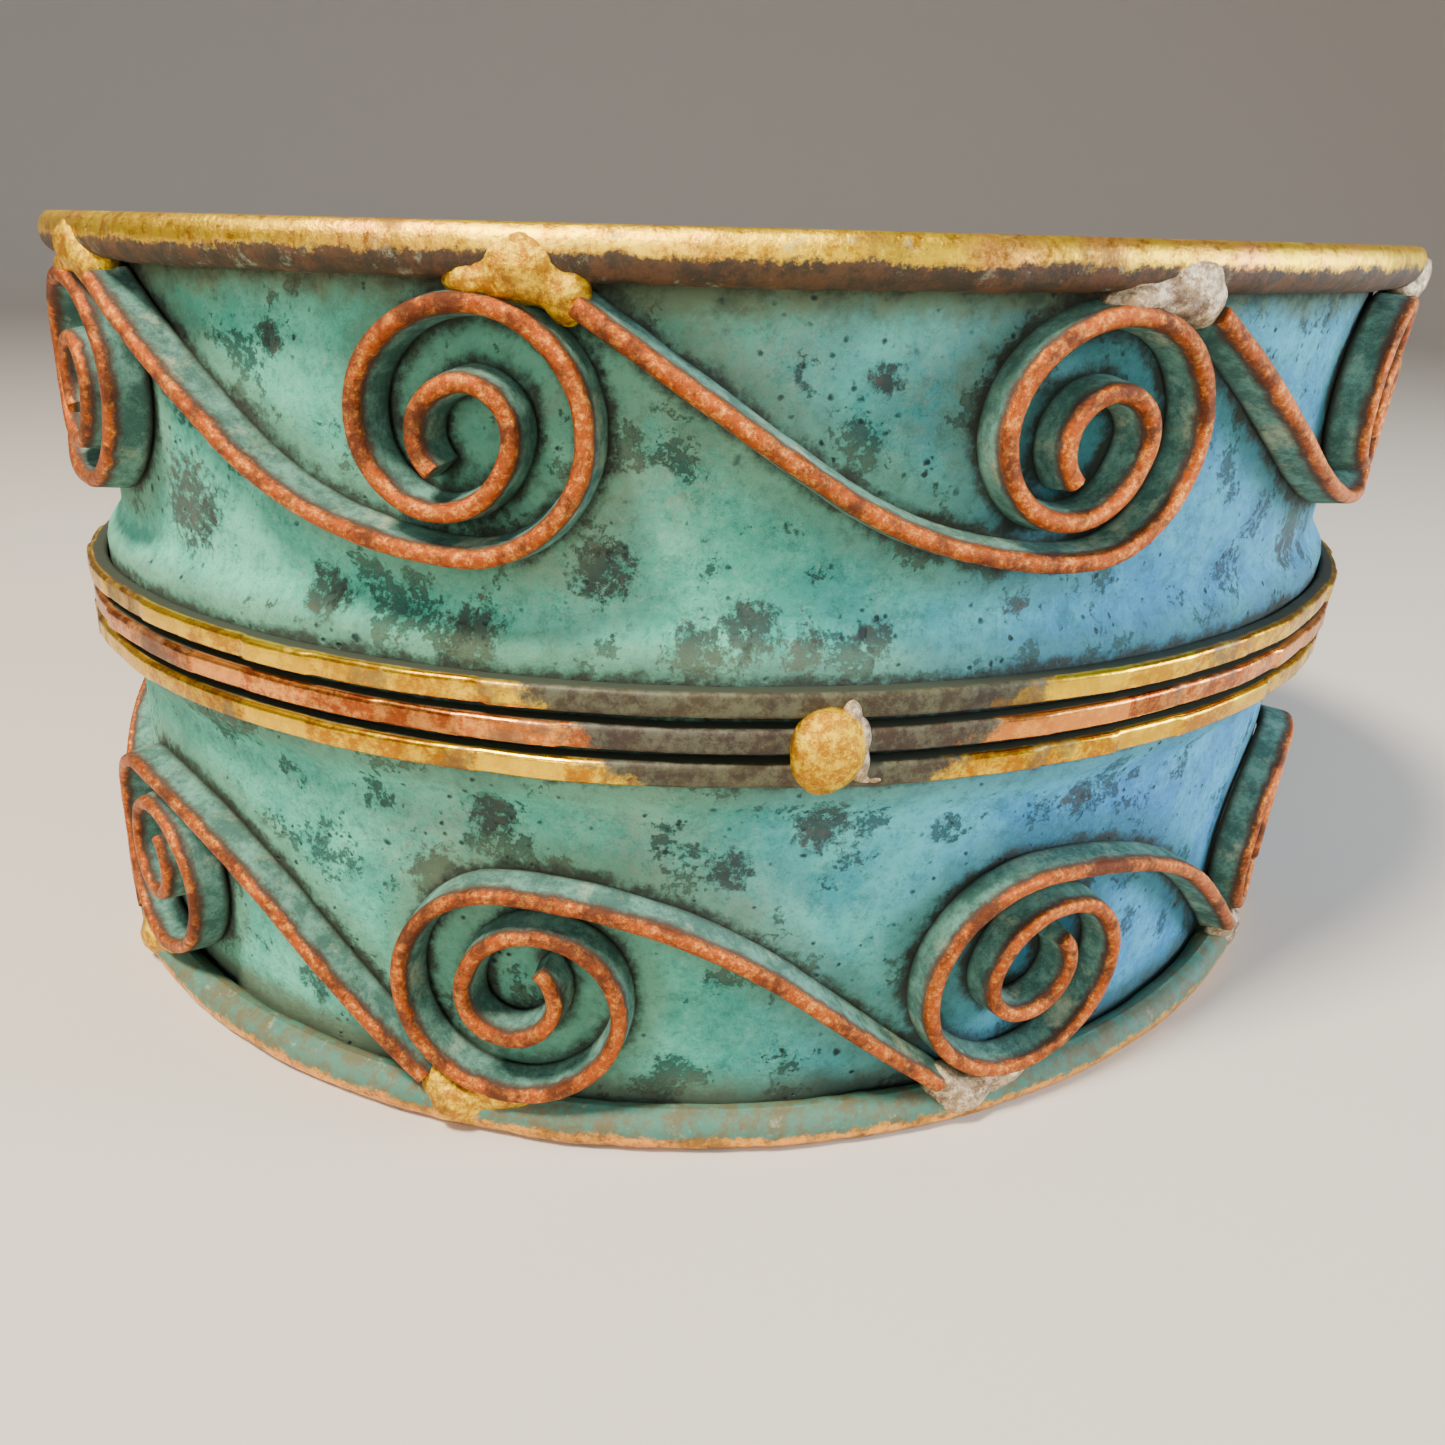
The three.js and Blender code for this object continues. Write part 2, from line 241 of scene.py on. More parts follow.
def bend_tree():
    """Bends a flat piece round the oval. Face is the level at which its x was measured."""
    g = ShapeGraph(
        "bend_round_wrist",
        face=0.0,
        front_radius=FRONT_RADIUS,
        side_radius=SIDE_RADIUS,
        front_half_angle=FRONT_HALF_ANGLE,
        lean=SIDE_LEAN,
        centre_x=OVAL_X,
        centre_y=OVAL_Y,
    )
    along, up, out = g.separate(g.place)[:3]
    up = g.math("MINIMUM", g.math("MAXIMUM", up, 0.0), HEIGHT)
    front, side, angle = (g.input(n) for n in ("Front Radius", "Side Radius", "Front Half Angle"))
    front_face = g.math("ADD", front, g.input("Face"))
    side_face = g.math("ADD", side, g.input("Face"))
    narrower = g.math("SUBTRACT", front, side)
    join_x = g.math("MULTIPLY", narrower, g.math("SINE", angle))
    join_y = g.math("MULTIPLY", narrower, g.math("COSINE", angle))
    side_turn = g.math("SUBTRACT", math.pi, g.math("MULTIPLY", angle, 2.0))
    away = g.math("ABSOLUTE", along)
    front_run = g.math("MULTIPLY", front_face, angle)
    side_run = g.math("MULTIPLY", side_face, side_turn)
    past_front = g.math("MAXIMUM", g.math("SUBTRACT", away, front_run), 0.0)
    past_side = g.math("MAXIMUM", g.math("SUBTRACT", past_front, side_run), 0.0)
    front_turn = g.math("DIVIDE", g.math("ADD", g.math("MINIMUM", away, front_run), past_side), front_face)
    turn = g.math("ADD", front_turn, g.math("DIVIDE", g.math("MINIMUM", past_front, side_run), side_face))
    off_front = g.math("GREATER_THAN", past_front, 0.0)
    on_back = g.math("GREATER_THAN", past_side, 0.0)
    on_side = g.math("SUBTRACT", off_front, on_back)
    radius = g.math("SUBTRACT", g.math("ADD", front, out), g.math("MULTIPLY", narrower, on_side))
    reach = g.math("MULTIPLY", join_x, on_side)
    reach = g.math("ADD", reach, g.math("MULTIPLY", radius, g.math("SINE", turn)))
    x = g.math("MULTIPLY", g.math("SIGN", along), reach)
    x = g.math("ADD", g.math("ADD", x, g.input("Centre X")), g.math("MULTIPLY", up, g.input("Lean")))
    which_arc = g.math("SUBTRACT", g.math("SUBTRACT", 1.0, off_front), on_back)
    y = g.math("MULTIPLY", join_y, which_arc)
    y = g.math("SUBTRACT", y, g.math("MULTIPLY", radius, g.math("COSINE", turn)))
    y = g.math("ADD", y, g.input("Centre Y"))
    bent = g.step("GeometryNodeSetPosition", g.input("Piece"), {"Position": g.combine(x, y, up)})
    g.feed(g.node("NodeGroupOutput").inputs[0], bent)
    return g.tree


BEND = bend_tree()


def wire_tree():
    """Draws a wire along a flat path: its section stands on the sheet and narrows to its crest."""
    g = ShapeGraph(
        "drawn_wire",
        foot=SCROLL_WIDTH,
        crest=SCROLL_WIDTH,
        back=WIRE_BACK,
        front=WIRE_FRONT,
        corner=0.3 * MM,
        step=0.3 * MM,
        wander=0.1 * MM,
        dents=0.03 * MM,
        swell=0.0,
        planish=0.0,
        planish_length=3.5 * MM,
        seed=0.0,
        face=RIM_LEVEL,
        material="material",
    )
    back, front = g.input("Back"), g.input("Front")
    depth = g.math("SUBTRACT", front, back)
    path = g.step("GeometryNodeMeshToCurve", g.input("Piece"))
    path = g.step("GeometryNodeResampleCurve", path, {"Length": g.input("Step")}, mode="LENGTH")
    sway = g.noise(g.place, 5 * MM, g.input("Seed"), colour=True)
    sway = g.vector("MULTIPLY", g.vector("SUBTRACT", sway, (0.5, 0.5, 0.5)), (1.0, 1.0, 0.0))
    sway = g.scaled(sway, g.input("Wander"))
    path = g.step("GeometryNodeSetPosition", path, {"Offset": sway})
    path = g.step("GeometryNodeSetCurveNormal", path, mode="Z_UP")
    # The section's underside is the side that faces out of the band
    outline = {"Height": depth, "Bottom Width": g.input("Crest"), "Top Width": g.input("Foot"), "Offset": 0.0}
    section = g.node("GeometryNodeCurvePrimitiveQuadrilateral", outline, mode="TRAPEZOID").outputs[0]
    rounding = {"Radius": g.input("Corner"), "Count": 5, "Limit Radius": True}
    section = g.step("GeometryNodeFilletCurve", section, rounding, mode="POLY")
    sides = {"Profile Curve": section, "Fill Caps": True}
    wire = g.step("GeometryNodeCurveToMesh", path, sides)
    level = g.separate(g.place)[2]
    middle = g.math("MULTIPLY", g.math("ADD", back, front), 0.5)
    level = g.math("ADD", level, middle)
    share = g.math("DIVIDE", g.math("SUBTRACT", level, back), depth)
    wire = g.mark(wire, "crest", share)
    wire = g.mark(wire, "flat", g.place, "FLOAT_VECTOR")
    # Flats left by the planishing hammer: each stretch has its own level and slope
    stretch = g.math("DIVIDE", g.separate(g.place)[0], g.input("Planish Length"))
    stretch = g.math("ADD", stretch, g.noise(g.place, 9 * MM, g.input("Seed")))
    blow = g.math("FLOOR", stretch)
    along_blow = g.math("SUBTRACT", g.math("SUBTRACT", stretch, blow), 0.5)
    chance = {"Vector": g.combine(blow, g.input("Seed"), 0.0)}
    chance = g.node("ShaderNodeTexWhiteNoise", chance, noise_dimensions="3D").outputs["Color"]
    tip, lift = g.separate(g.vector("SUBTRACT", chance, (0.5, 0.5, 0.5)))[:2]
    lift = g.math("ADD", lift, g.math("MULTIPLY", g.math("MULTIPLY", tip, along_blow), 2.0))
    lift = g.math("MULTIPLY", g.math("MULTIPLY", lift, share), g.input("Planish"))
    wire = g.mark(wire, "blow", g.separate(chance)[2])
    # Small dents all over, and slow changes in the wire's thickness
    dent = g.math("SUBTRACT", g.noise(g.place, 0.9 * MM, g.input("Seed"), detail=3.0), 0.5)
    slow = g.math("SUBTRACT", g.noise(g.place, 3.2 * MM, g.input("Seed"), detail=1.0), 0.5)
    slow = g.math("MULTIPLY", slow, g.input("Swell"))
    dent = g.math("ADD", g.math("MULTIPLY", dent, g.input("Dents")), slow)
    dent = g.scaled(g.node("GeometryNodeInputNormal").outputs[0], dent)
    raised = g.math("ADD", middle, lift)
    offset = g.vector("ADD", dent, g.combine(0.0, 0.0, raised))
    wire = g.step("GeometryNodeSetPosition", wire, {"Offset": offset})
    return g.finish(g.bend(wire, g.input("Face")))


def band_tree():
    """The sheet: a flat slab, raised into its ridge, dented, and marked where wires lie on it."""
    g = ShapeGraph(
        "raised_band",
        length=2 * half_length(0),
        thickness=SHEET,
        ridge_proud=RIDGE_PROUD,
        ridge_half_foot=RIDGE_HALF_FOOT,
        lip_flank=LIP_FLANK,
        planish=0.16 * MM,
        seed=4.0,
        wires="collection",
        material="material",
    )
    size = {"Size X": g.input("Length"), "Size Y": HEIGHT - 2 * SHEET_SETBACK, "Vertices X": 424}
    size["Vertices Y"] = 94
    slab = g.node("GeometryNodeMeshGrid", size).outputs[0]
    inside = g.combine(0.0, HEIGHT / 2, g.math("MULTIPLY", g.input("Thickness"), -0.5))
    slab = g.step("GeometryNodeSetPosition", slab, {"Offset": inside})
    lift = {"Offset": g.combine(0.0, 0.0, 1.0), "Offset Scale": g.input("Thickness"), "Individual": False}
    outer = g.step("GeometryNodeExtrudeMesh", slab, lift)
    inner = g.step("GeometryNodeFlipFaces", slab)
    both = g.node("GeometryNodeJoinGeometry")
    g.tree.links.new(outer, both.inputs[0])
    g.tree.links.new(inner, both.inputs[0])
    slab = g.step("GeometryNodeMergeByDistance", both.outputs[0], {"Distance": 0.01 * MM})
    up = g.separate(g.place)[1]
    from_ridge = g.math("ABSOLUTE", g.math("SUBTRACT", up, RIDGE_MIDDLE))
    climb = g.math("SUBTRACT", g.input("Ridge Half Foot"), from_ridge)
    climb = g.math("DIVIDE", climb, g.input("Lip Flank"))
    climb = g.math("MINIMUM", g.math("MAXIMUM", climb, 0.0), 1.0)
    swing = g.math("COSINE", g.math("MULTIPLY", climb, math.pi))
    rise = g.math("SUBTRACT", 0.5, g.math("MULTIPLY", swing, 0.5))
    raised = g.math("MULTIPLY", rise, g.input("Ridge Proud"))
    flat_place = g.combine(*g.separate(g.place)[:2], 0.0)
    broad = g.math("SUBTRACT", g.noise(flat_place, 7 * MM, g.input("Seed"), detail=1.0), 0.5)
    wall = g.math("SUBTRACT", 1.0, rise)
    dent = g.math("MULTIPLY", g.math("MULTIPLY", broad, wall), g.input("Planish"))
    slab = g.mark(slab, "flat", g.place, "FLOAT_VECTOR")
    lifted = g.combine(0.0, 0.0, g.math("ADD", raised, dent))
    slab = g.step("GeometryNodeSetPosition", slab, {"Offset": lifted})
    slab = g.bend(slab, 0.0)
    wires = g.node("GeometryNodeCollectionInfo", {"Collection": g.input("Wires")}).outputs[0]
    wires = g.step("GeometryNodeRealizeInstances", wires)
    gap = g.node("GeometryNodeProximity", {"Geometry": wires}, target_element="FACES")
    slab = g.mark(slab, "off_wire", gap.outputs["Distance"])
    return g.finish(slab)


def solder_tree():
    """Runs balls of solder together into one lump. Each starting point carries its ball's size."""
    g = ShapeGraph(
        "run_solder",
        grain=0.1 * MM,
        lumpy=0.25 * MM,
        easing="int",
        seed=0.0,
        face=RIM_LEVEL,
        material="material",
    )
    ball = g.node("GeometryNodeMeshIcoSphere", {"Radius": 1.0, "Subdivisions": 4}).outputs[0]
    size = g.node("GeometryNodeInputNamedAttribute", {"Name": "ball"}, data_type="FLOAT_VECTOR").outputs[0]
    balls = g.step("GeometryNodeInstanceOnPoints", g.input("Piece"), {"Instance": ball, "Scale": size})
    balls = g.step("GeometryNodeRealizeInstances", balls)
    voxels = {"Voxel Size": g.input("Grain"), "Interior Band Width": 0.4 * MM}
    mass = g.step("GeometryNodeMeshToVolume", balls, voxels, resolution_mode="VOXEL_SIZE")
    skin = {"Voxel Size": g.input("Grain"), "Threshold": 0.1}
    lump = g.step("GeometryNodeVolumeToMesh", mass, skin, resolution_mode="VOXEL_SIZE")
    eased = g.node("GeometryNodeBlurAttribute", data_type="FLOAT_VECTOR")
    g.feed(eased.inputs["Value"], g.place)
    g.feed(eased.inputs["Iterations"], g.input("Easing"))
    lump = g.step("GeometryNodeSetPosition", lump, {"Position": eased.outputs[0]})
    rough = g.noise(g.place, 1.1 * MM, g.input("Seed"), detail=3.0)
    rough = g.math("MULTIPLY", g.math("SUBTRACT", rough, 0.5), g.input("Lumpy"))
    rough = g.scaled(g.node("GeometryNodeInputNormal").outputs[0], rough)
    lump = g.mark(lump, "flat", g.place, "FLOAT_VECTOR")
    lump = g.step("GeometryNodeSetPosition", lump, {"Offset": rough})
    return g.finish(g.bend(lump, g.input("Face")), sharp=math.radians(80))


def nugget_tree():
    """The bead: a hammered nugget, the hull of a dented ball with its corners eased."""
    g = ShapeGraph(
        "hammered_nugget",
        width=2.6 * MM,
        height=2.9 * MM,
        depth=2.2 * MM,
        dents=0.28,
        seed=0.0,
        face=CENTRE_WIRE_FRONT,
        material="material",
    )
    ball = g.node("GeometryNodeMeshIcoSphere", {"Radius": 0.5, "Subdivisions": 1}).outputs[0]
    knock = g.noise(g.place, 0.45, g.input("Seed"), colour=True)
    knock = g.scaled(g.vector("SUBTRACT", knock, (0.5, 0.5, 0.5)), g.input("Dents"))
    ball = g.step("GeometryNodeSetPosition", ball, {"Offset": knock})
    ball = g.step("GeometryNodeConvexHull", ball)
    ball = g.step("GeometryNodeSubdivisionSurface", ball, {"Level": 3})
    fine = g.math("SUBTRACT", g.noise(g.place, 0.2, g.input("Seed"), detail=4.0), 0.5)
    fine = g.scaled(g.node("GeometryNodeInputNormal").outputs[0], g.math("MULTIPLY", fine, 0.05))
    ball = g.step("GeometryNodeSetPosition", ball, {"Offset": fine})
    size = g.combine(g.input("Width"), g.input("Height"), g.input("Depth"))
    placed = g.vector("MULTIPLY", g.place, size)
    start = {"Geometry": g.input("Piece"), "Value": g.place}
    start = g.node("GeometryNodeSampleIndex", start, data_type="FLOAT_VECTOR")
    placed = g.vector("ADD", placed, start.outputs[0])
    ball = g.step("GeometryNodeSetPosition", ball, {"Position": placed})
    ball = g.mark(ball, "flat", g.place, "FLOAT_VECTOR")
    return g.finish(g.bend(ball, g.input("Face")), sharp=math.radians(80))


# ---------------------------------------------------------------- making a piece


def flat_path(name, points, balls=None):
    """A starting mesh: points in order, joined by edges, or loose points with a ball's size each."""
    mesh = bpy.data.meshes.new(name)
    edges = [] if balls else [(i, i + 1) for i in range(len(points) - 1)]
    mesh.from_pydata([Vector(p) for p in points], edges, [])
    if balls:
        sizes = mesh.attributes.new("ball", "FLOAT_VECTOR", "POINT")
        for item, size in zip(sizes.data, balls):
            item.vector = size
    return mesh


def carry(name, start, tree, slot, cad_nodes, **sizes):
    """Runs a tree on a starting mesh and keeps the result as a plain piece of the cuff."""
    holder = bpy.data.objects.new(name + "_start", start)
    bpy.context.scene.collection.objects.link(holder)
    modifier = holder.modifiers.new("shape", "NODES")
    modifier.node_group = tree
    for item in tree.interface.items_tree:
        key = item.name.lower().replace(" ", "_")
        if item.in_out == "INPUT" and key in sizes:
            modifier[item.identifier] = sizes[key]
    graph = bpy.context.evaluated_depsgraph_get()
    mesh = bpy.data.meshes.new_from_object(holder.evaluated_get(graph))
    mesh.name = name
    holder.modifiers.remove(modifier)
    bpy.data.objects.remove(holder)
    piece = bpy.data.objects.new(name, mesh)
    bpy.context.scene.collection.objects.link(piece)
    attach(piece, "root")
    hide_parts(*cad_nodes)
    return piece


# ---------------------------------------------------------------- finishes


def tone(red, green, blue):
    """A colour as a screen shows it, 0 to 255, in the light values that shaders take."""
    shares = [value / 255 for value in (red, green, blue)]
    light = [s / 12.92 if s <= 0.04045 else ((s + 0.055) / 1.055) ** 2.4 for s in shares]
    return (*light, 1.0)


# Patina, and the painted bluish light and painted shade laid over it
TEAL = tone(52, 172, 148)
MINT = tone(98, 208, 176)
DEEP_TEAL = tone(30, 96, 88)
# Painted bluish light: the colours the patina is given on the side that the bluish lamp lights
SKY = tone(28, 138, 204)
PALE_SKY = tone(72, 180, 222)
OLIVE = tone(104, 124, 92)
PALE_OLIVE = tone(150, 164, 136)
CREAM = tone(182, 200, 172)
# Painted shade: near black, for corners, crevices and gaps between parts, and under the top rim
CREVICE_SHADE = tone(44, 50, 38)
STAIN = tone(34, 40, 38)
RUST = tone(74, 56, 44)
PIT = tone(14, 44, 46)

# Bare metal
COPPER = tone(172, 82, 32)
COPPER_BRIGHT = tone(246, 166, 78)
COPPER_BROWN = tone(72, 36, 20)
BRASS = tone(182, 120, 8)
BRASS_BRIGHT = tone(248, 204, 22)
BRASS_BROWN = tone(104, 60, 14)
SOOT = tone(26, 22, 14)
TIN = tone(224, 204, 168)
TIN_GREY = tone(152, 126, 94)

# Copper inside the band, patina down the wires' sides, what the heat left on rims and wires, and painted
# shade on the top rim's underside
RUBBED_DARK = tone(142, 74, 44)
RUBBED_LIGHT = tone(206, 122, 78)
SIDE_DARK = tone(52, 92, 82)
SIDE_LIGHT = tone(98, 148, 132)
RIM_COPPER = tone(132, 74, 42)
# Soot and painted shade, for the top rim's underside and its back against the band
RIM_SOOT_AND_SHADE = tone(24, 18, 10)
RIM_BROWN = tone(74, 42, 18)
RIM_GREEN = tone(52, 112, 96)
RIM_OLIVE = tone(84, 84, 58)
GRIME = tone(70, 76, 58)
FLOOR = tone(200, 192, 182)

# Pale washes and dark stains on the band's face: along the band, height and radius, in millimetres
WASHES = (
    (-3.6, 31.4, 4.0),
    (3.6, 30.4, 3.2),
    (-6.5, 27.6, 2.6),
    (-13.5, 12.4, 3.4),
    (-6.0, 13.2, 3.6),
    (-8.5, 24.6, 2.6),
    (-2.0, 10.6, 2.4),
)
STAINS = (
    (-4.4, 21.7, 1.3),
    (-2.6, 22.3, 1.5),
    (-0.8, 21.7, 1.0),
    (1.7, 22.0, 0.9),
    (-7.8, 24.3, 1.5),
    (-12.3, 21.7, 1.5),
    (-20.7, 31.3, 0.9),
    (-26.5, 24.6, 2.6),
    (-18.5, 22.4, 1.3),
    (1.1, 30.9, 0.7),
    (5.6, 31.2, 0.9),
    (7.2, 23.0, 0.8),
    (-11.8, 14.4, 1.3),
    (-14.2, 11.2, 1.7),
    (-9.2, 11.9, 1.2),
    (-2.6, 12.5, 1.2),
    (0.8, 14.5, 1.6),
    (12.0, 14.2, 1.1),
    (24.5, 23.6, 2.2),
)


# How a pattern breaks up: its layers of detail, and how much each finer layer counts
POWDERY = (9.0, 0.85)
GRITTY = (9.0, 0.8)
TORN = (9.0, 0.75)
PATCHY = (8.0, 0.75)
RAGGED = (7.0, 0.7)
UNEVEN = (6.0, 0.7)
BRUSHED = (5.0, 0.7)


class Finish(Graph):
    """A metal's finish: patterns laid on the piece's flat form, feeding one shader."""

    def __init__(self, name, seed):
        self.material = bpy.data.materials.new(name)
        self.material.use_nodes = True
        super().__init__(self.material.node_tree)
        self.tree.nodes.clear()
        self.seed = seed
        self.flat = self.attribute("flat", "Vector")
        self.along, self.up, self.out = self.separate(self.flat)[:3]

    def attribute(self, name, output="Fac"):
        return self.node("ShaderNodeAttribute", attribute_name=name).outputs[output]

    def mix(self, share, first, second):
        return self.node("ShaderNodeMix", {0: share, 6: first, 7: second}, data_type="RGBA").outputs[2]

    def cover(self, colour, mask, share, paint):
        """Lays paint over a colour, where the mask is and at up to share of full strength."""
        return self.mix(self.math("MULTIPLY", mask, share), colour, paint)

    def cloud(self, size, low, high, step=0, detail=4.0, rough=0.6):
        """Soft or ragged patches about size across: 0 where there is none and 1 inside one."""
        field = self.noise(self.flat, size, self.seed + step, detail, rough)
        return self.between(field, low, high)

    def spots(self, places, reach):
        """Named places on the band: 1 in the middle of each, easing to 0 at reach times its radius."""
        nearest = None
        for along, up, radius in places:
            place = (along * MM, up * MM, SHEET_FACE)
            gap = self.node("ShaderNodeVectorMath", {0: self.flat, 1: place}, operation="DISTANCE")
            gap = self.math("DIVIDE", gap.outputs["Value"], radius * MM)
            nearest = gap if nearest is None else self.math("MINIMUM", nearest, gap)
        return self.between(nearest, reach, 0.1)

    def broken(self, amount, grain, step, low=0.66, high=0.73):
        """Breaks a soft patch into grains: solid where amount is 1, and next to none where it is 0."""
        field = self.noise(self.flat, grain, self.seed + step, *GRITTY)
        return self.between(self.total((amount, 0.29), (field, 1.0)), low, high)

    def pits(self, cell, size, share, step=0):
        """Small round pits, in a share of the cells of a jittered grid."""
        warp = self.noise(self.flat, cell, self.seed + step, 2.0, colour=True)
        warp = self.scaled(self.vector("SUBTRACT", warp, (0.5, 0.5, 0.5)), cell * 0.7)
        where = self.vector("ADD", self.flat, warp)
        inputs = {"Vector": where, "W": self.seed + step, "Scale": 1 / cell}
        cells = self.node("ShaderNodeTexVoronoi", inputs, voronoi_dimensions="4D")
        chosen = self.math("LESS_THAN", self.separate(cells.outputs["Color"])[0], share)
        hollow = self.between(cells.outputs["Distance"], size, size * 0.4)
        return self.math("MULTIPLY", hollow, chosen)

    def total(self, *weighted):
        """Sum of pairs of a field and its weight."""
        result = 0.0
        for field, weight in weighted:
            result = self.math("MULTIPLY_ADD", field, weight, result)
        return result

    def coat(self, colour, metallic, roughness, height, depth):
        """Joins the patterns to the shader; depth is the real height of the pattern's relief."""
        relief = self.node("ShaderNodeBump", {"Height": height, "Distance": depth, "Strength": 1.0})
        inputs = {
            "Base Color": colour,
            "Metallic": metallic,
            "Roughness": roughness,
            "Normal": relief.outputs[0],
        }
        shader = self.node("ShaderNodeBsdfPrincipled", inputs)
        out = self.node("ShaderNodeOutputMaterial")
        self.tree.links.new(shader.outputs[0], out.inputs[0])
        return self.material


def band_patina():
    """Turquoise patina on the band's face, stained and pitted, with painted bluish light towards the right
    and painted shade beside the wires; worn copper inside.
    """
    f = Finish("patina_on_copper", seed=3.0)
    mottle = f.cloud(3.6 * MM, 0.4, 0.6, 1, *TORN)
    # Painted bluish light: the patina turns sky blue towards the band's right end, where the bluish side lamp
    # falls, a little more so lower down
    painted_bluish_light = f.between(f.total((f.along, 1 / MM), (f.noise(f.flat, 9 * MM, 60.0), 10.0)), 0.0, 20.0)
    painted_bluish_light = f.math("MULTIPLY", painted_bluish_light, f.between(f.up, 34 * MM, 6 * MM, 0.75, 1.0))
    colour = f.mix(mottle, f.mix(painted_bluish_light, TEAL, SKY), f.mix(painted_bluish_light, MINT, PALE_SKY))
    shade = f.cloud(0.7 * MM, 0.48, 0.62, 2, *POWDERY)
    colour = f.cover(colour, shade, 0.5, DEEP_TEAL)
    # Pale grey-green washes
    wash = f.math("MULTIPLY", f.spots(WASHES, 1.5), f.cloud(1.0 * MM, 0.38, 0.58, 3, *POWDERY))
    wash = f.math("MAXIMUM", wash, f.cloud(6 * MM, 0.6, 0.72, 14, *RAGGED))
    warm_side = f.math("SUBTRACT", 1.0, f.math("MULTIPLY", painted_bluish_light, 0.8))
    colour = f.cover(colour, f.math("MULTIPLY", wash, warm_side), 0.55, PALE_OLIVE)
    # Fine grain of the patina: pale crust, given the painted bluish light towards the right, and dark between
    # it
    fine = f.noise(f.flat, 0.5 * MM, 17.0, *POWDERY)
    crust = f.between(fine, 0.53, 0.62)
    colour = f.cover(colour, crust, 0.42, f.mix(painted_bluish_light, CREAM, PALE_SKY))
    colour = f.mix(f.between(fine, 0.48, 0.39, 0.0, 0.5), colour, DEEP_TEAL)
    specks = f.broken(f.cloud(3 * MM, 0.42, 0.64, 12), 0.3 * MM, 11, 0.74, 0.8)
    colour = f.cover(colour, specks, 0.8, PIT)
    # Ledge under the top rim, crust with painted shade, and the foot above the bottom rim
    sway = f.noise(f.flat, 1.6 * MM, 9.0, *TORN)
    ledge = f.between(f.total((f.up, 1 / MM), (sway, 3.6)), HEIGHT / MM - 1.1, HEIGHT / MM)
    ledge_crust_and_shade = f.mix(f.cloud(1.0 * MM, 0.42, 0.58, 13), CREVICE_SHADE, OLIVE)
    colour = f.cover(colour, ledge, 0.97, ledge_crust_and_shade)
    foot = f.between(f.total((f.up, 1 / MM), (sway, -3.6)), 1.2, -0.4)
    colour = f.cover(colour, foot, 0.8, RUST)
    # Stains: the named ones, and scattered ones all the way round
    scattered = f.cloud(5.5 * MM, 0.6, 0.76, 6, 3.0, 0.5)
    stain = f.math("MAXIMUM", f.spots(STAINS, 1.7), f.math("MULTIPLY", scattered, 0.6))
    stain = f.broken(stain, 0.4 * MM, 8, 0.67, 0.76)
    colour = f.cover(colour, stain, 0.9, f.mix(f.cloud(1.0 * MM, 0.5, 0.66, 9), STAIN, RUST))
    # Dirt and painted shade beside the wires: an olive layer, and painted shade near black in the corner
    # itself
    off_wire = f.total((f.attribute("off_wire"), 1 / MM), (f.noise(f.flat, 1.0 * MM, 12.0, *TORN), 1.8))
    wire_dirt_and_shade = f.between(off_wire, 2.9, 1.5)
    colour = f.cover(colour, wire_dirt_and_shade, 0.5, f.mix(painted_bluish_light, OLIVE, DEEP_TEAL))
    corner = f.math("MULTIPLY", f.between(off_wire, 1.5, 1.0), f.between(f.up, 1.8 * MM, 4 * MM, 0.3, 1.0))
    colour = f.cover(colour, corner, 0.95, CREVICE_SHADE)
    # Pits, in clusters
    pits = f.math("MULTIPLY", f.pits(0.4 * MM, 0.36, 0.5), f.cloud(3.4 * MM, 0.46, 0.56, 10))
    pits = f.math("MAXIMUM", pits, f.pits(1.2 * MM, 0.2, 0.24, 20))
    colour = f.cover(colour, pits, 0.97, PIT)
    # Inside: copper rubbed by the wrist, with brown tarnish in patches
    inside = f.between(f.out, -0.3 * MM, -0.45 * MM)
    tarnish = f.cloud(1.6 * MM, 0.54, 0.68, 31, *RAGGED)
    rubbed = f.mix(f.cloud(5 * MM, 0.3, 0.7, 30, *RAGGED), RUBBED_DARK, RUBBED_LIGHT)
    rubbed = f.cover(rubbed, tarnish, 0.5, COPPER_BROWN)
    colour = f.mix(inside, colour, rubbed)
    metallic = f.math("MULTIPLY", inside, f.between(tarnish, 0.0, 1.0, 0.95, 0.4))
    roughness = f.total((mottle, 0.12), (crust, 0.15), (stain, -0.08), (wire_dirt_and_shade, 0.08))
    roughness = f.math("ADD", roughness, f.between(inside, 0.0, 1.0, 0.56, 0.36))
    grain = f.noise(f.flat, 0.25 * MM, 15.0, *UNEVEN)
    swell = f.noise(f.flat, 1.6 * MM, 16.0, 4.0, 0.5)
    height = f.total((grain, 0.3), (fine, 1.2), (swell, 0.6), (pits, -0.9), (stain, -0.15), (specks, -0.3))
    return f.coat(colour, metallic, roughness, height, 0.14 * MM)


